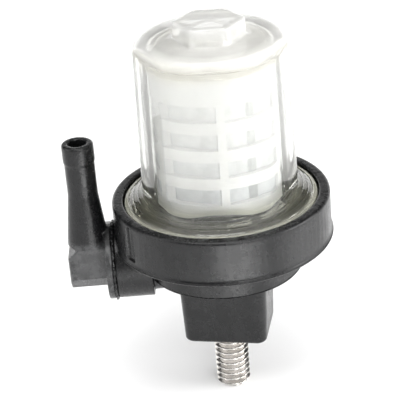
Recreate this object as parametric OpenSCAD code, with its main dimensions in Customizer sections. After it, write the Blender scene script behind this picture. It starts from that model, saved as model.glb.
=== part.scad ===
// Fuel filter for a small outboard engine: a black moulded head with a 5/16 inch mounting stud,
// two welded-on hose nipples, and a clear screw-in bowl over a mesh filter element.
// Millimetres, +Z up. The origin is where the stud leaves the head's mounting face.

/* [Mounting stud] */
// Thread major diameter
stud_d = 7.94; // [6:0.01:8]
// Thread pitch
stud_pitch = 1.411; // [1:0.001:1.411]
// Length standing out of the mounting face
stud_len = 14.8; // [10:0.1:20]
// Width across the flats of the moulded-in bolt head
stud_head_af = 13; // [11:1:13]

/* [Head] */
// Radius of the ring that takes the bowl
ring_r = 24.4; // [24.2:0.05:26]
// Radius of the ring's mouth
mouth_r = 22; // [21.9:0.05:22.3]
// Height of the ring's rim above the mounting face
rim_z = 35.3; // [35:0.1:36]
// Height of the ring's underside
ring_bottom_z = 24.7; // [24:0.1:25]
// Radius of the step below the ring
step_r = 17.7; // [17:0.1:19]
// Height of the step's underside
step_z = 17.7; // [17:0.1:18]
// Mounting block width at its foot
block_w = 19; // [16:0.5:20]
// Mounting block depth at its foot
block_d = 15.5; // [14:0.5:18]
// Turn of the mounting block about the main axis, degrees
block_turn = -12; // [-45:1:45]

/* [Ports] */
// Height of both ports' axis above the mounting face
port_z = 20.1; // [19:0.1:21]
// Radius of the fuel passages at the nipples' mouths
port_r = 2.1; // [1.5:0.1:2.2]
// Radius of the two port bosses on the head
boss_r = 8.7; // [8:0.1:9]
// Distance from the main axis to the welded face of each boss
boss_reach = 25; // [24.8:0.1:27]
// Radius of each nipple's welding flange
flange_r = 8.85; // [8.2:0.05:9.2]
// Thickness of each welding flange
flange_t = 1.8; // [1.5:0.1:3]

/* [Hose nipples] */
// Outside radius of the nipple tube
tube_r = 3.38; // [3.2:0.01:3.4]
// Radius of the raised lip that holds the hose
lip_r = 3.56; // [3.56:0.01:4]
// Length of the lip
lip_len = 4.3; // [2:0.1:6]
// Distance from the main axis to the upright inlet tube
inlet_x = 30.6; // [30:0.1:33]
// Height of the inlet tube's mouth
inlet_top_z = 49.8; // [40:0.1:60]
// Length of the straight outlet tube beyond its flange
outlet_len = 23.4; // [15:0.2:30]

/* [Bowl] */
// Bowl wall radius at its foot
bowl_r = 17.35; // [17:0.05:17.5]
// Inward slope of the wall, millimetres per millimetre of height
bowl_draft = 0.0205; // [0.01:0.0005:0.025]
// Height of the bowl's flat top
bowl_top_z = 72; // [71.5:0.1:75]
// Distance of the six wall flats from the axis, as a share of the wall radius
flat_share = 0.93; // [0.92:0.005:0.95]
// Width across the flats of the wrench boss
hex_af = 14; // [12:1:17]
// Height of the wrench boss
hex_h = 3.9; // [3:0.1:6]
// Turn of the bowl about the main axis when tight, degrees
bowl_turn = -2.5; // [-30:0.5:30]
// Radius of the bowl's rim flange
bowl_flange_r = 21.6; // [21.3:0.05:21.7]

/* [Filter element] */
// Radius of the element's cage
cage_r = 13.1; // [12.5:0.1:13.3]
// Rows of windows
window_rows = 4; // [3:1:4]
// Windows in each row
window_cols = 6; // [3:1:6]
// Distance from one row to the next
row_pitch = 6.4; // [6:0.1:6.5]
// Height of each window
window_h = 3.8; // [2:0.1:4]
// Width of the upright ribs between windows
rib_w = 1.9; // [1:0.1:3]
// Turn of the element about the main axis, degrees
element_turn = 4; // [-45:1:45]

/* [Hidden] */
$fn = 96;
CUT = 1; // overshoot of cutting shapes
SLOP = 0.02; // gap at surfaces that only rest on each other

STUD_R = stud_d / 2;
THREAD_DEPTH = 0.614 * stud_pitch;
THREAD_START = 0.9;
SHANK_R = STUD_R - 0.4; // plain shank inside the block, at the thread's pitch diameter
THREAD_TURNS = floor((stud_len - THREAD_START - 1) / stud_pitch);
STUD_HEAD_H = 5.3;
STUD_HEAD_Z = 7;

WALL = 1.8; // thickness of the head's floors
CUP_FLOOR_Z = ring_bottom_z + WALL;
THREAD_BORE_R = 20.6; // root of the head's inner thread
SEAT_Z = 30.4; // ledge that the bowl's seal rests on
WELL_R = 14.9;
WELL_FLOOR_Z = step_z + 1.9;
HUB_R = 7.5;
HUB_TOP_Z = 28;
SPIGOT_R = 4.8;
SPIGOT_TOP_Z = 33;
SPIGOT_BORE_R = 2.5;
DUCT_R = 4;
NECK_R = 7.4; // thickening under the passages where they meet the step
PASSAGE_DRAFT = 0.3; // how much wider each passage is where its core pin was drawn out
STUD_RELIEF_R = 4.5; // shallow recess around the stud in the mounting face
STUD_RELIEF = 0.6;
BOSS_ROOT = 16.55; // distance from the axis to the inner end face of each boss
BLOCK_DRAFT = 0.038;
BLOCK_CORNER_R = 2.2;
BLOCK_CHAMFER = 0.5;
BEAD_OUT = 0.35; // parting-line bead at the ring's lower edge
RECESS_TURN = -148;
RECESS_W = 3;
RECESS_DEPTH = 0.6;
RECESS_FOOT_Z = 26.6;
FLASH_W = 0.6; // width of the welded seam
FLASH_R = 8.95;
FLASH_ROOT_R = 8.1;

ARM_HALF = 4.8; // half depth of the elbow's arm
ARM_TOP = 5.6; // arm's top above the port axis
ARM_KNEE = -1.9; // where the arm's sides start to slope in
ARM_BOTTOM = -5.75;
ARM_FOOT_HALF = 1.4;
ARM_END = 35.4; // distance from the main axis to the arm's blind end
ARM_END_R = 1.8;
FLARE_TOP_Z = 37.5;
FLARE_FOOT_Z = 25.2;
FLARE_R = 4.75;
OUTLET_FLARE = 6; // length of the outlet tube's flared foot

BOWL_INNER_R = 14.35;
BOWL_CEILING_Z = 69.6;
CEILING_R = 2.5; // fillet between the bowl's inner wall and ceiling
SHOULDER_R = 2; // rounding of the bowl's upper edge
HEX_CORE_R = 4.2;
HEX_CORE_H = 4;
FLARE_Z = 37.6; // where the bowl's foot flare starts on the flats
BOWL_RIM_Z = rim_z - 0.5;
BOWL_FLANGE_Z = 32.3; // underside of the bowl's rim flange
NECK_OUT_R = 20; // bowl neck inside the seal
SKIRT_R = 19.4; // root of the bowl's outer thread
SKIRT_INNER_R = 17.2;
SKIRT_Z = 27;
SEAL_WIRE_R = 0.93;

COLLAR_Z = 28.3;
COLLAR_NECK_R = 8.2;
COLLAR_FLANGE_Z = 33.5;
CAGE_Z = 35.7;
ROW_Z = 40.4; // middle of the lowest row of windows
CAP_Z = 64;
CAP_TOP_Z = 68.6;
CAP_WALL = 1.3;
CAGE_WALL = 1.2;
MESH_T = 0.25;
BUSH_R = 6.4; // outside of the element's rubber seal bush
BUSH_LEN = 3.2;

// ---- shared shapes ----

// lays a shape that stands on +Z down along the inlet direction (-X)
module toward_inlet() {
    translate([0, 0, port_z]) rotate([0, -90, 0]) children();
}

// lays a shape that stands on +Z down along the outlet direction (+Y)
module toward_outlet() {
    translate([0, 0, port_z]) rotate([-90, 0, 0]) children();
}

// tube of revolution between two radii and two heights
module ring(r_in, r_out, z0, z1) {
    rotate_extrude() translate([r_in, z0]) square([r_out - r_in, z1 - z0]);
}

// ---- mounting stud: a hex bolt moulded into the block, with a V thread cut as grooves ----

module mounting_stud() {
    color("silver") {
        difference() {
            union() {
                translate([0, 0, -stud_len]) cylinder(r = STUD_R, h = stud_len);
                translate([0, 0, -CUT]) cylinder(r = SHANK_R, h = STUD_HEAD_Z + CUT + 0.1);
            }
            for (i = [0 : THREAD_TURNS - 1]) thread_groove(-THREAD_START - (i + 0.5) * stud_pitch);
            stud_tip_chamfer();
        }
        translate([0, 0, STUD_HEAD_Z])
            rotate(block_turn) cylinder(d = stud_head_af / cos(30), h = STUD_HEAD_H, $fn = 6);
    }
}

module thread_groove(z) {
    half = stud_pitch * 7 / 16;
    root = stud_pitch / 8;
    rotate_extrude() polygon([
        [STUD_R - THREAD_DEPTH, z - root], [STUD_R + 0.01, z - half],
        [STUD_R + 0.01, z + half], [STUD_R - THREAD_DEPTH, z + root]
    ]);
}

module stud_tip_chamfer() {
    rotate_extrude() polygon([
        [STUD_R - 0.9, -stud_len - CUT], [STUD_R + CUT, -stud_len - CUT],
        [STUD_R + CUT, -stud_len + 1.1], [STUD_R, -stud_len + 0.9], [STUD_R - 0.9, -stud_len]
    ]);
}

// ---- head ----

module head_body() {
    color("#222426") difference() {
        union() {
            difference() {
                head_outside();
                rotate_extrude() cup_section();
                wall_recess();
            }
            head_inside();
        }
        toward_inlet() passage(WELL_R - 1.4);
        toward_outlet() passage(0);
        translate([0, 0, port_z - 1]) cylinder(r = SPIGOT_BORE_R, h = SPIGOT_TOP_Z);
        stud_cavity();
    }
}

module head_outside() {
    rotate_extrude() union() {
        ring_section();
        translate([0, step_z]) square([step_r, ring_bottom_z - step_z + 0.1]);
    }
    toward_inlet() boss();
    toward_outlet() boss();
    mounting_block();
}

// hub and spigot that carry the element, with the outlet duct across the well
module head_inside() {
    ring(0, HUB_R, WELL_FLOOR_Z - 0.5, HUB_TOP_Z);
    ring(0, SPIGOT_R, HUB_TOP_Z - 0.5, SPIGOT_TOP_Z);
    toward_outlet() cylinder(r = DUCT_R, h = WELL_R + 0.5);
}

module ring_section() {
    polygon([
        [0, ring_bottom_z], [ring_r - 0.3, ring_bottom_z], [ring_r + BEAD_OUT, ring_bottom_z + 0.3],
        [ring_r + BEAD_OUT, ring_bottom_z + 0.8], [ring_r + 0.1, ring_bottom_z + 1.3],
        [ring_r, rim_z - 0.4], [ring_r - 0.4, rim_z], [0, rim_z]
    ]);
}

module cup_section() {
    translate([0, SEAT_Z]) square([mouth_r, rim_z]);
    translate([0, CUP_FLOOR_Z]) square([THREAD_BORE_R, rim_z]);
    translate([0, WELL_FLOOR_Z]) square([WELL_R, rim_z]);
}

// boss along +Z whose end face carries a nipple, and the thinner neck at its root
module boss() {
    translate([0, 0, BOSS_ROOT]) cylinder(r = boss_r, h = boss_reach - FLASH_W / 2 - BOSS_ROOT);
    translate([0, 0, BOSS_ROOT]) cylinder(r = FLASH_ROOT_R, h = boss_reach - BOSS_ROOT);
    translate([0, 0, WELL_R - 1.6]) cylinder(r = NECK_R, h = BOSS_ROOT - WELL_R + 2);
}

// drafted fuel passage along +Z, from the given distance out through the boss
module passage(from) {
    translate([0, 0, from]) cylinder(r1 = port_r, r2 = port_r + PASSAGE_DRAFT, h = boss_reach + CUT - from);
}

// shallow upright recess in the ring's wall, beside the inlet boss
module wall_recess() {
    rotate(RECESS_TURN) translate([ring_r - RECESS_DEPTH, -RECESS_W / 2, RECESS_FOOT_Z])
        cube([2 * RECESS_DEPTH + CUT, RECESS_W, rim_z - 0.8 - RECESS_FOOT_Z]);
}

// tapered block with rounded upright corners, widest where it meets the step
module mounting_block() {
    rotate(block_turn) {
        drafted_slab(0, BLOCK_CHAMFER, -BLOCK_CHAMFER, 0);
        drafted_slab(BLOCK_CHAMFER, step_z + 0.5 - BLOCK_CHAMFER, 0, BLOCK_DRAFT * step_z);
    }
}

// slab of the block's outline, grown outwards by one amount at its foot and another at its top
module drafted_slab(z, h, foot, top) {
    half_w = block_w / 2 - BLOCK_CORNER_R;
    half_d = block_d / 2 - BLOCK_CORNER_R;
    translate([0, 0, z]) {
        for (sx = [-1, 1], sy = [-1, 1]) translate([sx * half_w, sy * half_d, 0])
            cylinder(r1 = BLOCK_CORNER_R + foot, r2 = BLOCK_CORNER_R + top, h = h);
        slab_core(half_w, half_d, h, foot, top);
        rotate(90) slab_core(half_d, half_w, h, foot, top);
    }
}

// prism with two leaning sides, each tangent to the cones at the corners
module slab_core(half_w, half_d, h, foot, top) {
    low = half_w + BLOCK_CORNER_R + foot;
    high = half_w + BLOCK_CORNER_R + top;
    rotate([90, 0, 0]) linear_extrude(2 * half_d, center = true)
        polygon([[-low, 0], [low, 0], [high, h], [-high, h]]);
}

module stud_cavity() {
    translate([0, 0, -CUT]) cylinder(r = STUD_RELIEF_R, h = STUD_RELIEF + CUT);
    translate([0, 0, -CUT]) cylinder(r = SHANK_R, h = STUD_HEAD_Z + CUT + 0.1);
    translate([0, 0, STUD_HEAD_Z])
        rotate(block_turn) cylinder(d = stud_head_af / cos(30), h = STUD_HEAD_H, $fn = 6);
}

// ---- hose nipples, both welded to the head's bosses ----

module inlet_elbow() {
    color("#26282a") difference() {
        union() {
            toward_inlet() welding_flange();
            translate([-inlet_x, 0, 0]) upright_tube();
            elbow_arm();
        }
        toward_inlet() translate([0, 0, boss_reach - CUT])
            cylinder(r = port_r + PASSAGE_DRAFT, h = inlet_x - boss_reach + CUT);
        translate([-inlet_x, 0, port_z - 2.8])
            cylinder(r1 = port_r + PASSAGE_DRAFT, r2 = port_r, h = FLARE_TOP_Z - port_z + 2.8);
        translate([-inlet_x, 0, FLARE_TOP_Z - 0.1])
            cylinder(r = port_r, h = inlet_top_z);
    }
}

// disc along +Z with a rebate for the welded seam
module welding_flange() {
    translate([0, 0, boss_reach]) cylinder(r = FLASH_ROOT_R, h = flange_t);
    translate([0, 0, boss_reach + FLASH_W / 2]) cylinder(r = flange_r, h = flange_t - FLASH_W / 2);
}

module upright_tube() {
    translate([0, 0, FLARE_FOOT_Z])
        cylinder(r1 = FLARE_R, r2 = tube_r, h = FLARE_TOP_Z - FLARE_FOOT_Z);
    translate([0, 0, FLARE_TOP_Z]) cylinder(r = tube_r, h = inlet_top_z - lip_len - FLARE_TOP_Z + 0.1);
    translate([0, 0, inlet_top_z - lip_len]) nipple_lip();
}

// hose lip along +Z with a rounded mouth edge
module nipple_lip() {
    cylinder(r = lip_r, h = lip_len - 0.3);
    translate([0, 0, lip_len - 0.3]) cylinder(r1 = lip_r, r2 = lip_r - 0.3, h = 0.3);
}

// the elbow's level arm: flat sides, sloping under-edges and a bevelled outer corner
module elbow_arm() {
    intersection() {
        toward_inlet() translate([0, 0, boss_reach + 0.5]) linear_extrude(ARM_END - boss_reach - 0.5)
            polygon([
                [ARM_TOP, -ARM_HALF], [ARM_TOP, ARM_HALF], [ARM_KNEE, ARM_HALF],
                [ARM_BOTTOM, ARM_FOOT_HALF], [ARM_BOTTOM, -ARM_FOOT_HALF], [ARM_KNEE, -ARM_HALF]
            ]);
        arm_plan();
        arm_side();
    }
}

module arm_plan() {
    translate([-ARM_END, 0, 0]) linear_extrude(rim_z) union() {
        translate([ARM_END_R, -ARM_HALF]) square([ARM_END, 2 * ARM_HALF]);
        translate([0, -ARM_HALF + ARM_END_R]) square([ARM_END_R + 1, 2 * (ARM_HALF - ARM_END_R)]);
        for (s = [-1, 1]) translate([ARM_END_R, s * (ARM_HALF - ARM_END_R)]) circle(r = ARM_END_R);
    }
}

module arm_side() {
    bevel = 2.6;
    translate([-ARM_END - CUT, 2 * ARM_HALF, 0]) rotate([90, 0, 0]) linear_extrude(4 * ARM_HALF)
        polygon([
            [0, 0], [ARM_END, 0], [ARM_END, port_z + ARM_TOP + CUT],
            [bevel + CUT, port_z + ARM_TOP + CUT], [CUT + bevel, port_z + ARM_TOP],
            [CUT, port_z + ARM_TOP - bevel], [0, port_z + ARM_TOP - bevel]
        ]);
}

module outlet_nipple() {
    color("#26282a") toward_outlet() difference() {
        root = boss_reach + flange_t;
        union() {
            welding_flange();
            translate([0, 0, root - 0.1]) cylinder(r1 = FLARE_R, r2 = tube_r, h = OUTLET_FLARE + 0.1);
            translate([0, 0, root + OUTLET_FLARE])
                cylinder(r = tube_r, h = outlet_len - lip_len - OUTLET_FLARE + 0.1);
            translate([0, 0, root + outlet_len - lip_len]) nipple_lip();
        }
        translate([0, 0, boss_reach])
            cylinder(r1 = port_r + PASSAGE_DRAFT, r2 = port_r, h = flange_t + OUTLET_FLARE);
        translate([0, 0, root + OUTLET_FLARE - 0.1]) cylinder(r = port_r, h = outlet_len);
    }
}

// bead of plastic squeezed out where a flange is welded to its boss
module weld_seam() {
    ring(FLASH_ROOT_R, FLASH_R, boss_reach - FLASH_W / 2, boss_reach + FLASH_W / 2);
}

module inlet_weld_seam() {
    color("#303234") toward_inlet() weld_seam();
}

module outlet_weld_seam() {
    color("#303234") toward_outlet() weld_seam();
}

// ---- bowl: clear cup with six shallow flats, a wrench boss and a threaded skirt ----

function wall_r(z) = bowl_r - bowl_draft * (z - FLARE_Z);

module bowl() {
    color([0.93, 0.94, 0.86, 0.45]) rotate(bowl_turn) difference() {
        union() {
            bowl_wall();
            bowl_foot();
            translate([0, 0, bowl_top_z - 0.1])
                cylinder(d = hex_af / cos(30), h = hex_h + 0.1, $fn = 6);
        }
        bowl_inside();
    }
}

// tapered round wall with a rounded upper edge, cut by six flats
module bowl_wall() {
    difference() {
        rotate_extrude() {
            polygon([
                [0, FLARE_Z - 3], [wall_r(FLARE_Z - 3), FLARE_Z - 3],
                [wall_r(bowl_top_z - SHOULDER_R), bowl_top_z - SHOULDER_R],
                [wall_r(bowl_top_z) - SHOULDER_R, bowl_top_z], [0, bowl_top_z]
            ]);
            translate([wall_r(bowl_top_z - SHOULDER_R) - SHOULDER_R, bowl_top_z - SHOULDER_R])
                circle(r = SHOULDER_R);
        }
        for (i = [0 : 5]) rotate(30 + 60 * i) wall_flat();
    }
}

// half-space beyond one flat, leaning in with the wall's draft
module wall_flat() {
    translate([flat_share * wall_r(FLARE_Z), 0, FLARE_Z])
        rotate([0, -atan(bowl_draft * flat_share), 0])
            translate([0, -bowl_r, -10]) cube([10, 2 * bowl_r, bowl_top_z]);
}

// sloping flare, rim flange, seal neck and threaded skirt
module bowl_foot() {
    rotate_extrude() polygon([
        [0, SKIRT_Z], [SKIRT_R - 0.4, SKIRT_Z], [SKIRT_R, SKIRT_Z + 0.4], [SKIRT_R, SEAT_Z - 0.2],
        [NECK_OUT_R, SEAT_Z], [NECK_OUT_R, BOWL_FLANGE_Z], [bowl_flange_r, BOWL_FLANGE_Z],
        [bowl_flange_r, BOWL_RIM_Z - 0.2], [bowl_flange_r - 0.2, BOWL_RIM_Z],
        [bowl_flange_r - 0.8, BOWL_RIM_Z], [bowl_flange_r - 1.2, BOWL_RIM_Z + 0.45],
        [flat_share * bowl_r, FLARE_Z], [0, FLARE_Z]
    ]);
}

module bowl_inside() {
    inner_top = BOWL_INNER_R - bowl_draft * (BOWL_CEILING_Z - FLARE_Z);
    rotate_extrude() {
        polygon([
            [0, SKIRT_Z - CUT], [SKIRT_INNER_R, SKIRT_Z - CUT], [SKIRT_INNER_R, FLARE_Z - 4.2],
            [SKIRT_INNER_R - 0.5, FLARE_Z - 3.2], [BOWL_INNER_R, FLARE_Z - 0.6],
            [inner_top, BOWL_CEILING_Z - CEILING_R], [inner_top - CEILING_R, BOWL_CEILING_Z],
            [0, BOWL_CEILING_Z]
        ]);
        translate([inner_top - CEILING_R, BOWL_CEILING_Z - CEILING_R]) circle(r = CEILING_R);
        translate([0, BOWL_CEILING_Z - CUT]) square([HEX_CORE_R, HEX_CORE_H + CUT]);
    }
}

module bowl_seal_ring() {
    wire_mid = (NECK_OUT_R + mouth_r) / 2;
    color("#1a1a1a") rotate_extrude()
        translate([wire_mid, (SEAT_Z + BOWL_FLANGE_Z) / 2]) circle(r = SEAL_WIRE_R);
}

// ---- filter element ----

module element_collar() {
    color("#262829") rotate_extrude() difference() {
        union() {
            translate([0, COLLAR_Z]) square([COLLAR_NECK_R, COLLAR_FLANGE_Z - COLLAR_Z + 0.1]);
            translate([0, COLLAR_FLANGE_Z]) square([cage_r, CAGE_Z - COLLAR_FLANGE_Z - SLOP]);
        }
        translate([0, COLLAR_Z - CUT]) square([BUSH_R, BUSH_LEN + CUT + SLOP]);
        translate([0, COLLAR_Z]) square([SPIGOT_R + 0.3, rim_z]);
    }
}

// rings joined by upright ribs, leaving rows of windows
module element_cage() {
    first = ROW_Z - row_pitch;
    color("white") rotate(element_turn) {
        for (i = [0 : window_rows]) {
            low = max(CAGE_Z, first + i * row_pitch + window_h / 2);
            high = min(CAP_Z + 1.5, first + (i + 1) * row_pitch - window_h / 2);
            ring(cage_r - CAGE_WALL, cage_r, low, i == window_rows ? CAP_Z - SLOP : high);
        }
        intersection() {
            ring(cage_r - CAGE_WALL, cage_r, CAGE_Z + 0.5, CAP_Z - 0.5);
            for (i = [0 : window_cols - 1]) rotate(360 / window_cols * i - 90)
                translate([0, -rib_w / 2, CAGE_Z]) cube([cage_r + CUT, rib_w, CAP_Z - CAGE_Z]);
        }
    }
}

module element_mesh() {
    color("gainsboro") ring(
        cage_r - CAGE_WALL - SLOP - MESH_T, cage_r - CAGE_WALL - SLOP, CAGE_Z, CAP_Z - SLOP
    );
}

module element_cap() {
    color("white") rotate_extrude() difference() {
        polygon([
            [0, CAP_Z], [cage_r + 0.2, CAP_Z], [cage_r + 0.2, CAP_TOP_Z - 1.2],
            [cage_r - 1, CAP_TOP_Z], [0, CAP_TOP_Z]
        ]);
        translate([0, CAP_Z - CUT]) square([cage_r - CAGE_WALL - MESH_T, CAP_TOP_Z - CAP_WALL - CAP_Z + CUT]);
    }
}

module element_seal_bush() {
    color("#303030") ring(SPIGOT_R + SLOP, BUSH_R - SLOP, COLLAR_Z + SLOP, COLLAR_Z + BUSH_LEN);
}

head_body();
mounting_stud();
inlet_elbow();
inlet_weld_seam();
outlet_nipple();
outlet_weld_seam();
bowl();
bowl_seal_ring();
element_collar();
element_cage();
element_mesh();
element_cap();
element_seal_bush();
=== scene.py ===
import bpy
import bmesh
import math
import numpy as np
from mathutils import Matrix, Vector, noise


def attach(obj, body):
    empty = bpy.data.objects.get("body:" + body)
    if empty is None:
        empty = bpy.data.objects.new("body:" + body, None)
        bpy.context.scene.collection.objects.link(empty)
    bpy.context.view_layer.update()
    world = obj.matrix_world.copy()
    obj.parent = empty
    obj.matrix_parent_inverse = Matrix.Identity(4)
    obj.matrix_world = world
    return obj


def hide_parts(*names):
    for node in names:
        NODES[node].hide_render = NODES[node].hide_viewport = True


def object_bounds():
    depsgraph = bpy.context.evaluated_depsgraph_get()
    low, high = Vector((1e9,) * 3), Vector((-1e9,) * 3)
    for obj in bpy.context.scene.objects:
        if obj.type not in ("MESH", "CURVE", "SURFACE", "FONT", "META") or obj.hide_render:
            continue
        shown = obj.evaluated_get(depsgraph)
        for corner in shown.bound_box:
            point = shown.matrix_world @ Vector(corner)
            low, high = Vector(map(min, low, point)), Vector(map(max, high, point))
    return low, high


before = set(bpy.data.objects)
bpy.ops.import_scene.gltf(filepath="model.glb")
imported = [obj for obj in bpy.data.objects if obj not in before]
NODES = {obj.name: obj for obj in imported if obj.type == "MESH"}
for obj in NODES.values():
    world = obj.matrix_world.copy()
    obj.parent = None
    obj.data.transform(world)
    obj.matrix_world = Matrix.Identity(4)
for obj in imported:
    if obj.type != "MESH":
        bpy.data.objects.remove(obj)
CAD_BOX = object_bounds()
MM = 0.001
FULL_TURN = 2 * math.pi
scene = bpy.context.scene


def mm(x, y, z):
    return Vector((x, y, z)) * MM


# ---------------------------------------------------------------- sizes in millimetres
# each is within 0.15 of the CAD's
PORT_Z = 20.1  # height of both ports' axis
BOSS_REACH = 25  # from the main axis to the weld of each nipple
WELD_R = 8.1  # root of the welded seams

BOWL_R = 17.35
BOWL_DRAFT = 0.0205  # inward slope of the wall
BOWL_TURN = math.radians(-2.5)
BOWL_FLATS = math.radians(30) + BOWL_TURN  # direction of the first of six flats
FLAT_SHARE = 0.93
BOWL_TOP_Z = 72
SHOULDER_R = 2
WRENCH_APOTHEM = 7
FLANGE_R = 21.6
FLANGE_Z = 32.3  # underside of the rim flange
RIM_Z = 34.8  # top of the rim flange
NECK_R = 20
SEAT_Z = 30.4
SKIRT_R = 19.4
SKIRT_Z = 27
SKIRT_INNER_R = 17.2
FLARE_FOOT_R, FLARE_FOOT_Z = 20.4, 35.25
FLARE_R, FLARE_Z = 16.1, 37.6  # where the flare meets the wall
BOWL_INNER_R = 14.35
CEILING_Z = 69.6
CEILING_R = 2.5
CORE_R, CORE_Z = 4.2, 73.6  # hollow under the wrench boss

MESH_R = 11.76
MESH_T = 0.13
MESH_LOW_Z, MESH_HIGH_Z = 35.72, 63.95
MESH_LAP = math.radians(306)  # direction of the mesh's lapped seam

STUD_R = 3.97
STUD_PITCH = 1.411
STUD_DEPTH = 0.866
STUD_TIP_Z = CAD_BOX[0][2] / MM
SHANK_R = 3.6
STUD_HEAD_Z, STUD_HEAD_TOP_Z = 7, 12.3
STUD_HEAD_APOTHEM = 6.5
STUD_HEAD_FLAT = math.radians(18)


# ---------------------------------------------------------------- camera
def make_camera():
    """Looks down on the part and leans a little, as the photographer's camera did."""
    data = bpy.data.cameras.new("camera")
    data.lens = 128.7
    data.sensor_width = 36
    data.clip_start = 0.01
    data.clip_end = 20
    camera = bpy.data.objects.new("camera", data)
    scene.collection.objects.link(camera)
    pitch, roll = 0.4644, -0.0792
    forward = Vector((0, math.cos(pitch), -math.sin(pitch)))
    level = Vector((1, 0, 0))
    plumb = forward.cross(level)
    right = math.cos(roll) * level - math.sin(roll) * plumb
    down = math.sin(roll) * level + math.cos(roll) * plumb
    placing = Matrix((right, -down, -forward)).transposed().to_4x4()
    placing.translation = mm(-4.73, -286.15, 176.83)
    camera.matrix_world = placing
    scene.camera = camera


make_camera()
scene.view_settings.view_transform = "Standard"
scene.view_settings.look = "None"


# ---------------------------------------------------------------- node helpers
def new_material(name):
    material = bpy.data.materials.new(name)
    material.use_nodes = True
    nt = material.node_tree
    return material, nt, nt.nodes["Principled BSDF"]


def add(nt, kind, **values):
    """New node; each value goes to the input of that name, or else to the node's own setting."""
    node = nt.nodes.new(kind)
    for key, value in values.items():
        if key in node.inputs:
            node.inputs[key].default_value = value
        else:
            setattr(node, key, value)
    return node


def own_place(nt):
    """The piece's own coordinates, so that a tone stays put on a piece that moves."""
    return add(nt, "ShaderNodeTexCoord").outputs["Object"]


def own_xyz(nt):
    split = add(nt, "ShaderNodeSeparateXYZ")
    nt.links.new(own_place(nt), split.inputs[0])
    return split.outputs


def tex_noise(nt, scale, detail, rough, stretch=None):
    source = own_place(nt)
    if stretch:
        mapping = add(nt, "ShaderNodeMapping", Scale=stretch)
        nt.links.new(source, mapping.inputs["Vector"])
        source = mapping.outputs["Vector"]
    texture = add(nt, "ShaderNodeTexNoise", Scale=scale, Detail=detail, Roughness=rough)
    nt.links.new(source, texture.inputs["Vector"])
    return texture.outputs["Fac"]


def ramp(nt, factor, stops):
    node = add(nt, "ShaderNodeValToRGB")
    elements = node.color_ramp.elements
    while len(elements) < len(stops):
        elements.new(0.5)
    for element, (position, colour) in zip(elements, stops):
        element.position = position
        element.color = (*colour, 1)
    nt.links.new(factor, node.inputs["Fac"])
    return node.outputs["Color"]


def remap(nt, factor, to_low, to_high, from_low=0.0, from_high=1.0):
    """Straight line from one range to another, held level beyond both ends."""
    ends = {"From Min": from_low, "From Max": from_high, "To Min": to_low, "To Max": to_high}
    node = add(nt, "ShaderNodeMapRange", **ends)
    nt.links.new(factor, node.inputs["Value"])
    return node.outputs["Result"]


def maths(nt, operation, *values):
    node = add(nt, "ShaderNodeMath", operation=operation)
    for socket, value in zip(node.inputs, values):
        if isinstance(value, (int, float)):
            socket.default_value = value
        else:
            nt.links.new(value, socket)
    return node.outputs[0]


def plus(nt, a, b):
    return maths(nt, "ADD", a, b)


def times(nt, a, b):
    return maths(nt, "MULTIPLY", a, b)


def blend(nt, a, share, b):
    """share of a, and b for the rest."""
    return plus(nt, times(nt, a, share), times(nt, b, 1 - share))


def scaled(nt, colour, factor):
    node = add(nt, "ShaderNodeVectorMath", operation="SCALE")
    nt.links.new(colour, node.inputs[0])
    nt.links.new(factor, node.inputs["Scale"])
    return node.outputs[0]


def bump(nt, shader, layers):
    """layers: (height socket, distance in metres, strength), coarse first."""
    last = None
    for height, distance, strength in layers:
        node = add(nt, "ShaderNodeBump", Distance=distance, Strength=strength)
        nt.links.new(height, node.inputs["Height"])
        if last:
            nt.links.new(last, node.inputs["Normal"])
        last = node.outputs["Normal"]
    nt.links.new(last, shader.inputs["Normal"])


def by_height(nt, stops):
    """Colour that changes up the piece; stops are (height in millimetres, colour)."""
    low, high = 27, 76
    level = remap(nt, own_xyz(nt)["Z"], 0, 1, low * MM, high * MM)
    return ramp(nt, level, [((z - low) / (high - low), colour) for z, colour in stops])


def grey(value):
    return (value, value, value)


# ---------------------------------------------------------------- materials
NYLON_DARK = (0.0022, 0.0023, 0.0026)
NYLON_LIGHT = (0.0085, 0.0086, 0.0091)
NYLON_SCRATCHED = tuple(2.6 * c for c in NYLON_LIGHT)
# painted sheen: a paler tone for the ports' lower arms, standing in for the light they catch
NYLON_PAINTED_SHEEN = (0.062, 0.063, 0.064, 1)
STEEL_STAINED = (0.52, 0.50, 0.47)
STEEL_BRIGHT = (0.72, 0.70, 0.675)
WHITE = (0.87, 0.87, 0.875)
WHITE_LOW = tuple(0.93 * c for c in WHITE)
RUBBER_DARK = (0.012, 0.012, 0.013)
RUBBER_LIGHT = (0.03, 0.03, 0.031)

# yellow in the thick rim and under the top, nearly colourless in the wall
BOWL_TINT = [
    (33, (0.78, 0.77, 0.62)), (36, (0.90, 0.90, 0.79)), (39, (0.97, 0.975, 0.945)),
    (66.5, (0.97, 0.975, 0.95)), (68, (0.94, 0.93, 0.87)), (70.2, (0.85, 0.838, 0.775)),
    (71.3, (0.845, 0.836, 0.79)), (71.9, (0.865, 0.862, 0.835)), (75.9, (0.87, 0.868, 0.85)),
]
BOWL_CLOUD = [
    (33, grey(0)), (35.6, grey(0.02)), (41, grey(0.05)), (47, grey(0.13)), (64, grey(0.2)),
    (70, grey(0.22)), (75.9, grey(0.3)),
]
# tone of the woven mesh, darker towards the bottom
MESH_TONE = [
    (36, (0.58, 0.60, 0.63)), (42, (0.68, 0.70, 0.73)), (50, (0.77, 0.78, 0.80)),
    (58, (0.81, 0.815, 0.825)),
]


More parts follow.
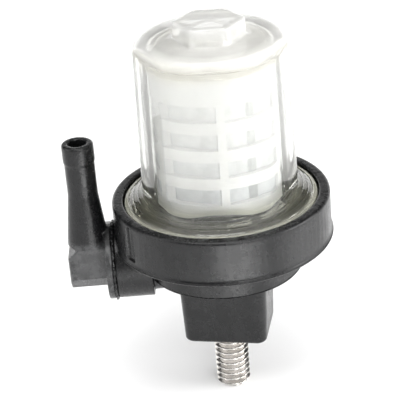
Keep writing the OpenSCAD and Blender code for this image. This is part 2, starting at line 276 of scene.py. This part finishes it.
def nylon_material(name, sheen_below=None):
    """Glass-filled nylon: blotchy gloss, fine grain, flow lines down the mould and light scratches."""
    material, nt, shader = new_material(name)
    cloud = tex_noise(nt, 330, 6, 0.6)
    grain = tex_noise(nt, 2600, 3, 0.6)
    flow = tex_noise(nt, 700, 5, 0.6, stretch=(1, 1, 0.2))
    line = tex_noise(nt, 1500, 2, 0.5, stretch=(1, 1, 0.05))
    where = tex_noise(nt, 130, 2, 0.5)
    sink = tex_noise(nt, 85, 2, 0.4)
    mottle = blend(nt, cloud, 0.65, flow)
    scratches = times(nt, remap(nt, line, 0, 1, 0.66, 0.72), remap(nt, where, 0, 1, 0.55, 0.62))
    tone = plus(nt, mottle, times(nt, scratches, 0.3))
    colour = ramp(nt, tone, [(0.3, NYLON_DARK), (0.66, NYLON_LIGHT), (0.9, NYLON_SCRATCHED)])
    # painted sheen below the given height, standing in for the light on the arms' fronts
    if sheen_below:
        colour = painted_sheen(nt, colour, cloud, sheen_below)
    gloss = blend(nt, mottle, 0.75, grain)
    nt.links.new(colour, shader.inputs["Base Color"])
    nt.links.new(remap(nt, gloss, 0.15, 0.38, 0.36, 0.64), shader.inputs["Roughness"])
    shader.inputs["IOR"].default_value = 1.41
    layers = [(sink, 0.0006, 0.3), (flow, 0.0002, 0.3), (cloud, 0.00012, 0.3), (grain, 0.00002, 0.45)]
    bump(nt, shader, layers)
    return material


def painted_sheen(nt, colour, cloud, top):
    """Painted sheen: paler and patchy below a height, standing in for light caught by the ports' arms."""
    below = remap(nt, own_xyz(nt)["Z"], 1, 0, (top - 1) * MM, top * MM)
    patches = remap(nt, cloud, 0.35, 1, 0.4, 0.62)
    mix = add(nt, "ShaderNodeMix", data_type="RGBA")
    nt.links.new(times(nt, below, patches), mix.inputs["Factor"])
    nt.links.new(colour, mix.inputs["A"])
    mix.inputs["B"].default_value = NYLON_PAINTED_SHEEN
    return mix.outputs["Result"]


def clear_material(name):
    """Clear moulding, tinted in its rim and top, and cloudy where it is thick."""
    material, nt, shader = new_material(name)
    haze = tex_noise(nt, 120, 4, 0.55)
    streak = tex_noise(nt, 260, 3, 0.5, stretch=(1, 1, 0.06))
    shade = plus(nt, times(nt, streak, 0.06), 0.965)
    tint = scaled(nt, by_height(nt, BOWL_TINT), maths(nt, "MINIMUM", shade, 1.0))
    nt.links.new(tint, shader.inputs["Base Color"])
    nt.links.new(remap(nt, haze, 0.02, 0.07, 0.3, 0.7), shader.inputs["Roughness"])
    clearness = maths(nt, "SUBTRACT", 1.0, cloudiness(nt, haze))
    nt.links.new(clearness, shader.inputs["Transmission Weight"])
    shader.inputs["IOR"].default_value = 1.5
    bump(nt, shader, [(streak, 0.0001, 0.05)])
    return material


def cloudiness(nt, haze):
    """Grows up the wall, with one cloudy zone on the flange's edge and one round the shoulder."""
    x, y, z = own_xyz(nt)
    radius = maths(nt, "SQRT", plus(nt, times(nt, x, x), times(nt, y, y)))
    edge = remap(nt, radius, 0.1, 0.28, 20.4 * MM, 21.1 * MM)
    foot = times(nt, remap(nt, z, 1, 0, 34.9 * MM, 35.4 * MM), edge)
    rim = remap(nt, radius, 0.2, 0.34, 12.2 * MM, 14.4 * MM)
    shoulder = times(nt, remap(nt, z, 0, 1, 69.5 * MM, 71.2 * MM), rim)
    cloudy = plus(nt, plus(nt, foot, shoulder), by_height(nt, BOWL_CLOUD))
    return times(nt, cloudy, remap(nt, haze, 0.9, 1.1, 0.3, 0.7))


def white_material(name):
    material, nt, shader = new_material(name)
    cloud = tex_noise(nt, 240, 4, 0.5)
    nt.links.new(ramp(nt, cloud, [(0.3, WHITE_LOW), (0.7, WHITE)]), shader.inputs["Base Color"])
    nt.links.new(remap(nt, cloud, 0.35, 0.5), shader.inputs["Roughness"])
    shader.inputs["Subsurface Weight"].default_value = 0.15
    shader.inputs["Subsurface Radius"].default_value = mm(1, 1, 1)
    bump(nt, shader, [(cloud, 0.00005, 0.25)])
    return material


def mesh_material(name):
    """Woven nylon, darker towards the bottom and at its lapped seam."""
    material, nt, shader = new_material(name)
    cloud = tex_noise(nt, 300, 4, 0.6)
    x, y, _ = own_xyz(nt)
    angle = maths(nt, "ARCTAN2", y, x)
    from_lap = maths(nt, "ABSOLUTE", plus(nt, angle, FULL_TURN - MESH_LAP))
    lap = remap(nt, from_lap, 0.62, 1.0, 0.05, 0.075)
    spots = remap(nt, cloud, 0.82, 1.05, 0.35, 0.65)
    tone = scaled(nt, by_height(nt, MESH_TONE), times(nt, lap, spots))
    nt.links.new(tone, shader.inputs["Base Color"])
    nt.links.new(remap(nt, cloud, 0.5, 0.7), shader.inputs["Roughness"])
    return material


def steel_material(name):
    """Plated steel with faint stains and turning marks."""
    material, nt, shader = new_material(name)
    turned = tex_noise(nt, 500, 3, 0.5, stretch=(0.3, 0.3, 3))
    stain = tex_noise(nt, 220, 4, 0.5)
    colour = ramp(nt, stain, [(0.3, STEEL_STAINED), (0.65, STEEL_BRIGHT)])
    nt.links.new(colour, shader.inputs["Base Color"])
    nt.links.new(remap(nt, turned, 0.13, 0.24, 0.3, 0.7), shader.inputs["Roughness"])
    shader.inputs["Metallic"].default_value = 1.0
    bump(nt, shader, [(turned, 0.000002, 0.2)])
    return material


def rubber_material(name):
    material, nt, shader = new_material(name)
    grain = tex_noise(nt, 1500, 3, 0.5)
    nt.links.new(ramp(nt, grain, [(0.3, RUBBER_DARK), (0.7, RUBBER_LIGHT)]), shader.inputs["Base Color"])
    nt.links.new(remap(nt, grain, 0.45, 0.65), shader.inputs["Roughness"])
    bump(nt, shader, [(grain, 0.00002, 0.4)])
    return material


nylon = nylon_material("black_nylon_grain")
# nylon for the elbow and nipple, with a painted sheen below 27 mm
nylon_painted_sheen = nylon_material("black_nylon_elbow", sheen_below=27)
clear = clear_material("clear_bowl_plastic")
white = white_material("white_cage_plastic")
mesh_white = mesh_material("woven_filter_mesh")
steel = steel_material("plated_steel")
rubber = rubber_material("seal_rubber_skin")

FINISH = {
    "head_body": nylon, "mounting_stud": steel, "inlet_elbow": nylon_painted_sheen,
    "inlet_weld_seam": nylon, "outlet_nipple": nylon_painted_sheen, "outlet_weld_seam": nylon,
    "bowl": clear, "bowl_seal_ring": rubber, "element_collar": nylon, "element_cage": white,
    "element_mesh": mesh_white, "element_cap": white, "element_seal_bush": rubber,
}
for node_name, finish in FINISH.items():
    for material_slot in NODES[node_name].material_slots:
        material_slot.material = finish


# ---------------------------------------------------------------- mesh building
def lerp(a, b, t):
    return a + (b - a) * t


def unit(value):
    """value held between 0 and 1."""
    return min(1.0, max(0.0, value))


def soft_min(a, b, width):
    """The smaller of two values, rounded off where they are within width of each other."""
    t = unit(0.5 + 0.5 * (b - a) / width)
    return lerp(b, a, t) - width * t * (1 - t)


def soft_max(a, b, width):
    return -soft_min(-a, -b, width)


def levels(a, b, count):
    return [a + (b - a) * i / count for i in range(count + 1)]


def polygon_radius(angle, sides, apothem, first):
    """Radius of a regular polygon with a flat centred on the direction first."""
    step = FULL_TURN / sides
    return apothem / math.cos((angle - first + step / 2) % step - step / 2)


def ring(r, z):
    return lambda a: (r, z)


def rings_at(r, z, offsets):
    """Plain rings at small offsets (outward, upward) from a corner of the outline."""
    return [ring(r + out, z + up) for out, up in offsets]


def skin(name, rings, count, material, body, replaces=(), wrap=False, smooth_deg=35):
    """Mesh through rings. A ring gives (radius, z) for an angle; a number is a pole's height."""
    bm = bmesh.new()
    rows = []
    for outline in rings:
        if isinstance(outline, (int, float)):
            rows.append([bm.verts.new((0, 0, outline * MM))])
            continue
        row = []
        for i in range(count):
            a = FULL_TURN * i / count
            r, z = outline(a)
            row.append(bm.verts.new(mm(r * math.cos(a), r * math.sin(a), z)))
        rows.append(row)
    pairs = list(zip(rows, rows[1:]))
    if wrap:
        pairs.append((rows[-1], rows[0]))
    for low, high in pairs:
        if len(low) == 1 and len(high) == 1:
            continue
        for i in range(count):
            j = (i + 1) % count
            if len(low) == 1:
                bm.faces.new((low[0], high[j], high[i]))
            elif len(high) == 1:
                bm.faces.new((low[i], low[j], high[0]))
            else:
                bm.faces.new((low[i], low[j], high[j], high[i]))
    bmesh.ops.recalc_face_normals(bm, faces=bm.faces)
    data = bpy.data.meshes.new(name)
    bm.to_mesh(data)
    bm.free()
    for polygon in data.polygons:
        polygon.use_smooth = True
    data.set_sharp_from_angle(angle=math.radians(smooth_deg))
    data.materials.append(material)
    obj = bpy.data.objects.new(name, data)
    scene.collection.objects.link(obj)
    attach(obj, body)
    if replaces:
        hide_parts(*replaces)
    return obj


# ---------------------------------------------------------------- bowl
def wobble(a, z, size):
    """Slight unevenness of a moulded face."""
    p = Vector((math.cos(a) * 2.2, math.sin(a) * 2.2, z * 0.13))
    return size * noise.noise(p) + 0.4 * size * noise.noise(p * 3.1)


def drafted(r, z):
    """Radius at height z of a drafted wall that is r where the flare ends."""
    return r - BOWL_DRAFT * (z - FLARE_Z)


def bowl_wall(a, z, round_r):
    flat = polygon_radius(a, 6, FLAT_SHARE * drafted(BOWL_R, z), BOWL_FLATS)
    return soft_min(round_r, flat, 0.6) + wobble(a, z, 0.007)


def skirt_rings():
    """Skirt with a helical thread, which fades out at both ends."""
    low, high, fade_len = 27.5, 29.9, 0.5
    pitch, proud = 1.5, 0.55

    def thread(a, z):
        turn = ((z - SKIRT_Z) / pitch - (a - BOWL_TURN) / FULL_TURN) % 1.0
        ridge = max(0.0, 1 - abs(turn - 0.5) / 0.3)
        fade = unit((z - low) / fade_len) * unit((high - z) / fade_len)
        return SKIRT_R + proud * fade * min(1, ridge * 1.5), z

    rings = rings_at(SKIRT_R, SKIRT_Z, [(-0.4, 0), (-0.15, 0.08), (0, 0.4)])
    rings += [lambda a, z=z: thread(a, z) for z in levels(low, high, 30)]
    return rings


def flange_rings():
    """Neck inside the seal, and the rim flange, with their edges rounded."""
    rings = rings_at(SKIRT_R, SEAT_Z, [(0, -0.3), (0.1, -0.12)])
    rings += rings_at(NECK_R, SEAT_Z, [(-0.1, 0), (0, 0.1)])
    rings += rings_at(NECK_R, FLANGE_Z, [(0, -0.15), (0.1, -0.04), (0.3, 0)])
    rings += rings_at(FLANGE_R, FLANGE_Z, [(-0.3, 0), (-0.08, 0.08), (0, 0.3)])
    rings += rings_at(FLANGE_R, RIM_Z, [(0, -0.35), (-0.03, -0.18), (-0.12, -0.06), (-0.3, 0)])
    rings += rings_at(FLANGE_R, RIM_Z, [(-0.65, 0), (-0.88, 0.07), (-1.05, 0.26)])
    return rings


def flare_r(z):
    """Sloping foot of the wall, with three fine rings moulded round it."""
    fine_rings = sum(0.09 * math.exp(-((z - at) / 0.07) ** 2) for at in (35.75, 36.35, 36.9))
    slope = (FLARE_FOOT_R - FLARE_R) / (FLARE_Z - FLARE_FOOT_Z)
    return FLARE_FOOT_R - (z - FLARE_FOOT_Z) * slope + fine_rings


def outer_wall_rings():
    """Flare, six-flatted wall, rounded shoulder and flat top."""
    flare_end, wall_start, bend = 38.4, 38.9, 14

    def foot(a, z):
        return soft_max(flare_r(min(z, FLARE_Z + 0.3)), bowl_wall(a, z, drafted(BOWL_R, z)), 0.4), z

    rings = [lambda a, z=z: foot(a, z) for z in levels(FLARE_FOOT_Z, flare_end, 70)]
    for z in levels(wall_start, BOWL_TOP_Z - SHOULDER_R, 40):
        rings.append(lambda a, z=z: (bowl_wall(a, z, drafted(BOWL_R, z)), z))
    for k in range(1, bend + 1):
        t = math.radians(90 * k / bend)
        r = drafted(BOWL_R, BOWL_TOP_Z) - SHOULDER_R * (1 - math.cos(t))
        z = BOWL_TOP_Z - SHOULDER_R * (1 - math.sin(t))
        rings.append(lambda a, r=r, z=z: (bowl_wall(a, z, r), z))
    for r in (14.2, 13.2, 12, 11, 10, 9.3):
        rings.append(lambda a, r=r: (r, BOWL_TOP_Z + wobble(a, r * 3, 0.02)))
    return rings


def wrench_boss_rings():
    """Hexagon with blunted corners, a small fillet at its foot and a rounded upper edge."""
    foot = [(0.55, 0), (0.3, 0.05), (0.12, 0.2), (0.03, 0.45)]
    side = [(0, 1.3), (-0.04, 2.4), (-0.07, 3.35)]
    edge = [(-0.12, 3.62), (-0.26, 3.8), (-0.5, 3.88), (-1.1, 3.9)]
    top = [(-2.2, 3.88), (-3.6, 3.85), (-5.2, 3.83)]

    def hexagon(a, out):
        flat = polygon_radius(a, 6, WRENCH_APOTHEM, BOWL_FLATS)
        corner = WRENCH_APOTHEM / math.cos(math.radians(30))
        return soft_min(flat, 0.975 * corner, 0.5) + out

    rings = []
    for out, up in foot + side + edge + top:
        rings.append(lambda a, out=out, z=BOWL_TOP_Z + up: (hexagon(a, out), z))
    rings.append(BOWL_TOP_Z + 3.82)
    return rings


def inside_rings():
    """From the middle of the core under the boss, down to the foot of the skirt."""
    core_edge = [(-2.7, 0), (-1.2, 0), (-0.4, -0.05), (-0.1, -0.25), (0, -0.6), (0.02, -2.1)]
    core_mouth = [(0.05, 0.6), (0.15, 0.2), (0.4, 0.02), (1, 0)]
    flare = [(14.42, 36.9), (14.62, 36.6), (15.1, 36.1), (15.7, 35.45), (16.3, 34.8), (16.7, 34.35)]
    flare += [(16.95, 34.0), (17.12, 33.65), (SKIRT_INNER_R, 33.2), (SKIRT_INNER_R, 30.5)]
    skirt_edge = [(0, 1), (0.05, 0.3), (0.2, 0.08), (0.5, 0), (1.2, 0)]
    bend = 16

    rings = [CORE_Z] + rings_at(CORE_R, CORE_Z, core_edge) + rings_at(CORE_R, CEILING_Z, core_mouth)
    rings += [ring(r, CEILING_Z) for r in (7, 9, 10.3, 11)]
    for k in range(1, bend + 1):
        t = math.radians(90 - 90 * k / bend)
        r = drafted(BOWL_INNER_R, CEILING_Z) - CEILING_R * (1 - math.cos(t))
        rings.append(ring(r, CEILING_Z - CEILING_R * (1 - math.sin(t))))
    for z in levels(66.4, 37.2, 36):
        rings.append(lambda a, z=z: (drafted(BOWL_INNER_R, z) + wobble(a + 2, z, 0.009), z))
    rings += [ring(r, z) for r, z in flare]
    rings += rings_at(SKIRT_INNER_R, SKIRT_Z, skirt_edge)
    return rings


bowl_rings = skirt_rings() + flange_rings() + outer_wall_rings() + wrench_boss_rings() + inside_rings()
skin("bowl_moulding", bowl_rings, 288, clear, "bowl", replaces=("bowl",),
     wrap=True, smooth_deg=85)


# ---------------------------------------------------------------- black mouldings
def rounded_copy(node_name, name, passes, material):
    """Fine even mesh over a CAD piece of the head, with its edges rounded as a mould's are."""
    obj = bpy.data.objects.new(name, NODES[node_name].data.copy())
    scene.collection.objects.link(obj)
    remesh = obj.modifiers.new("even_mesh", "REMESH")
    remesh.mode = "VOXEL"
    remesh.voxel_size = 0.2 * MM
    remesh.adaptivity = 0
    depsgraph = bpy.context.evaluated_depsgraph_get()
    data = bpy.data.meshes.new_from_object(obj.evaluated_get(depsgraph))
    obj.modifiers.clear()
    obj.data = data
    count = len(data.vertices)
    places = np.empty(count * 3, dtype=np.float64)
    data.vertices.foreach_get("co", places)
    places = places.reshape(count, 3)
    edges = np.empty(len(data.edges) * 2, dtype=np.int64)
    data.edges.foreach_get("vertices", edges)
    a, b = edges.reshape(-1, 2).T
    neighbours = np.bincount(a, minlength=count) + np.bincount(b, minlength=count)
    for _ in range(passes):
        sums = [np.bincount(a, places[b, i], count) + np.bincount(b, places[a, i], count) for i in range(3)]
        places = 0.5 * places + 0.5 * np.stack(sums, axis=1) / neighbours[:, None]
    data.vertices.foreach_set("co", places.ravel())
    for polygon in data.polygons:
        polygon.use_smooth = True
    data.materials.clear()
    data.materials.append(material)
    data.update()
    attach(obj, "head")
    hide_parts(node_name)


rounded_copy("head_body", "head_moulding", 3, nylon)
rounded_copy("inlet_elbow", "inlet_elbow_moulding", 5, nylon_painted_sheen)
rounded_copy("outlet_nipple", "outlet_nipple_moulding", 4, nylon_painted_sheen)


def parting_bead(name, radius, z, thick):
    """Fine raised line that the mould's joint leaves around the head."""
    sides = 10

    def surface(a, t):
        wave = 1 + 0.25 * noise.noise(Vector((math.cos(a) * 6, math.sin(a) * 6, radius)))
        return radius + thick * wave * math.cos(t), z + thick * wave * math.sin(t)

    rings = [lambda a, t=FULL_TURN * k / sides: surface(a, t) for k in range(sides)]
    skin(name, rings, 300, nylon, "head", wrap=True)


parting_bead("ring_parting_bead", 24.66, 25.3, 0.2)
parting_bead("step_parting_bead", 17.68, 17.9, 0.14)


# ---------------------------------------------------------------- welded seams
TOWARD_INLET = Matrix.Translation(mm(0, 0, PORT_Z)) @ Matrix.Rotation(math.radians(-90), 4, "Y")
TOWARD_OUTLET = Matrix.Translation(mm(0, 0, PORT_Z)) @ Matrix.Rotation(math.radians(-90), 4, "X")
# (outward, along, how torn) around the section of a seam
SEAM_OUTLINE = [
    (0, -0.3, 0), (0.55, -0.3, 0), (0.8, -0.24, 0.7), (0.95, -0.1, 1),
    (0.95, 0.1, 1), (0.8, 0.24, 0.7), (0.55, 0.3, 0), (0, 0.3, 0),
]


def weld_bead(node_name, name, lay, seed):
    """Plastic squeezed out at a weld, with a torn edge."""
    def surface(a, out, along, torn):
        p = Vector((math.cos(a) * 9 + seed, math.sin(a) * 9, along * 1.5))
        tear = noise.noise(p) + 0.6 * noise.noise(p * 2.7)
        sway = noise.noise(p * 1.7 + Vector((4, 0, 0)))
        return WELD_R + out + 0.34 * torn * tear, BOSS_REACH + along + 0.14 * torn * sway

    rings = [lambda a, point=point: surface(a, *point) for point in SEAM_OUTLINE]
    obj = skin(name, rings, 420, nylon, "head", replaces=(node_name,), wrap=True)
    obj.data.transform(lay)


weld_bead("inlet_weld_seam", "inlet_weld_bead", TOWARD_INLET, 0)
weld_bead("outlet_weld_seam", "outlet_weld_bead", TOWARD_OUTLET, 31)


# ---------------------------------------------------------------- woven mesh
def woven_sleeve():
    """Sleeve with a woven outer face, a lapped seam and a little slack."""
    thread, cols, rows = 0.045, 440, 172
    lap_half, lap_proud = math.radians(3.2), 0.1

    def weave(a, z, k):
        warp = math.cos(a * cols / 4)
        weft = math.cos(math.pi * k / 2)
        lap = lap_proud if abs(a - MESH_LAP) < lap_half else 0.0
        slack = 0.04 * math.sin(a * 3 + z * 0.2)
        return MESH_R + lap + thread * (warp - weft) * 0.5 + slack, z

    heights = levels(MESH_LOW_Z, MESH_HIGH_Z, rows)
    rings = [lambda a, z=z, k=k: weave(a, z, k) for k, z in enumerate(heights)]
    rings += [ring(MESH_R - MESH_T, MESH_HIGH_Z), ring(MESH_R - MESH_T, MESH_LOW_Z)]
    skin("woven_filter_sleeve", rings, cols, mesh_white, "head",
         replaces=("element_mesh",), wrap=True)


woven_sleeve()


# ---------------------------------------------------------------- stud
def stud_rings():
    """Blunt tip, helical thread, plain shank and the hexagonal head moulded into the block."""
    tip = rings_at(0, STUD_TIP_Z, [(1.2, 0), (2.4, 0), (2.95, 0.02)])
    head = [(-0.3, 0), (-0.08, 0.08), (0, 0.3), (0, 5), (-0.1, 5.2), (-0.4, 5.3), (-3, 5.3)]

    def thread(a, z):
        turn = (z / STUD_PITCH - a / FULL_TURN) % 1.0
        cut = unit((abs(turn - 0.5) * 2 - 0.125) / 0.75)
        fade = unit((-0.1 - z) / 0.9)
        r = STUD_R - STUD_DEPTH * (1 - (1 - cut) ** 1.15) * fade
        r += 0.012 * noise.noise(Vector((math.cos(a) * 5, math.sin(a) * 5, z * 2)))
        chamfer = 3.0 + 1.05 * (z - STUD_TIP_Z)
        return min(r, chamfer), z

    def hexagon(a, out):
        return polygon_radius(a, 6, STUD_HEAD_APOTHEM, STUD_HEAD_FLAT) + out

    rings = [STUD_TIP_Z] + tip
    rings += [lambda a, z=z: thread(a, z) for z in levels(STUD_TIP_Z + 0.06, -0.02, 236)]
    rings += [ring(SHANK_R, z) for z in (0, 3, STUD_HEAD_Z - 0.02)]
    for out, up in head:
        rings.append(lambda a, out=out, z=STUD_HEAD_Z + up: (hexagon(a, out), z))
    rings.append(STUD_HEAD_TOP_Z)
    return rings


skin("threaded_stud", stud_rings(), 120, steel, "head", replaces=("mounting_stud",), smooth_deg=50)


# ---------------------------------------------------------------- stage and light
def make_floor():
    half, z = 2.5, CAD_BOX[0][2]
    bm = bmesh.new()
    corners = ((-half, -half), (half, -half), (half, half), (-half, half))
    bm.faces.new([bm.verts.new((x, y, z)) for x, y in corners])
    data = bpy.data.meshes.new("studio_floor")
    bm.to_mesh(data)
    bm.free()
    floor = bpy.data.objects.new("studio_floor", data)
    scene.collection.objects.link(floor)
    material, nt, shader = new_material("pale_floor")
    shader.inputs["Base Color"].default_value = (0.96, 0.96, 0.96, 1)
    shader.inputs["Roughness"].default_value = 0.8
    shader.inputs["Specular IOR Level"].default_value = 0.2
    data.materials.append(material)


def hang(name, data, place, aim):
    lamp = bpy.data.objects.new(name, data)
    scene.collection.objects.link(lamp)
    lamp.location = place
    lamp.rotation_euler = (Vector(aim) - Vector(place)).to_track_quat("-Z", "Y").to_euler()


def soft_box(name, place, aim, size, power):
    data = bpy.data.lights.new(name, "AREA")
    data.shape = "RECTANGLE"
    data.size, data.size_y = size
    data.energy = power
    hang(name, data, place, aim)


def spot(name, place, aim, degrees, softness, power):
    data = bpy.data.lights.new(name, "SPOT")
    data.energy = power
    data.spot_size = math.radians(degrees)
    data.spot_blend = softness
    data.shadow_soft_size = 0.02
    hang(name, data, place, aim)


def make_world():
    """Bright studio at the sides and overhead, dark behind the object and behind the photographer."""
    world = bpy.data.worlds.new("studio_world")
    world.use_nodes = True
    nt = world.node_tree
    split = add(nt, "ShaderNodeSeparateXYZ")
    nt.links.new(add(nt, "ShaderNodeTexCoord").outputs["Generated"], split.inputs[0])
    y, z = split.outputs["Y"], split.outputs["Z"]
    behind = times(nt, remap(nt, y, 0, 1, 0.15, 0.55), remap(nt, z, 0, 1, 0.12, 0.3))
    before = times(nt, remap(nt, y, 0, 0.8, -0.3, -0.6), remap(nt, z, 0, 1, 0.0, 0.08))
    dark = times(nt, plus(nt, behind, before), remap(nt, z, 1, 0.3, 0.7, 0.95))
    background = nt.nodes["Background"]
    nt.links.new(ramp(nt, dark, [(0, grey(1)), (1, grey(0.08))]), background.inputs["Color"])
    background.inputs["Strength"].default_value = 0.88
    scene.world = world


make_floor()
make_world()
# soft boxes: place, aim and size in metres, then watts
soft_box("right_box", (0.6, -0.1, 0.2), (0, 0, 0.03), (0.5, 0.45), 3.2)
soft_box("left_box", (-0.6, -0.2, 0.25), (0, 0, 0.04), (0.4, 0.5), 0.9)
soft_box("top_box", (0, -0.1, 0.9), (0, 0, 0), (1.1, 0.9), 3.0)
soft_box("front_high_box", (-0.05, -0.42, 0.72), (0, 0, 0.03), (0.6, 0.3), 2.4)
soft_box("front_key_box", (0.24, -0.57, 0.26), (0, 0, 0.045), (0.4, 0.25), 2.0)
soft_box("low_back_box", (0, 0.5, 0.13), (0, 0, 0.01), (0.9, 0.22), 0.8)
# bright patches of floor, which the black head mirrors: place and aim, degrees, softness, watts
spot("front_floor_light", (0.02, -0.33, 0.45), (0.021, -0.112, -0.013), 10, 0.5, 62)
spot("left_floor_light", (-0.05, -0.30, 0.45), (-0.036, -0.072, -0.013), 5, 0.8, 24)
spot("right_floor_light", (0.20, -0.20, 0.45), (0.095, -0.035, -0.013), 11, 0.8, 18)
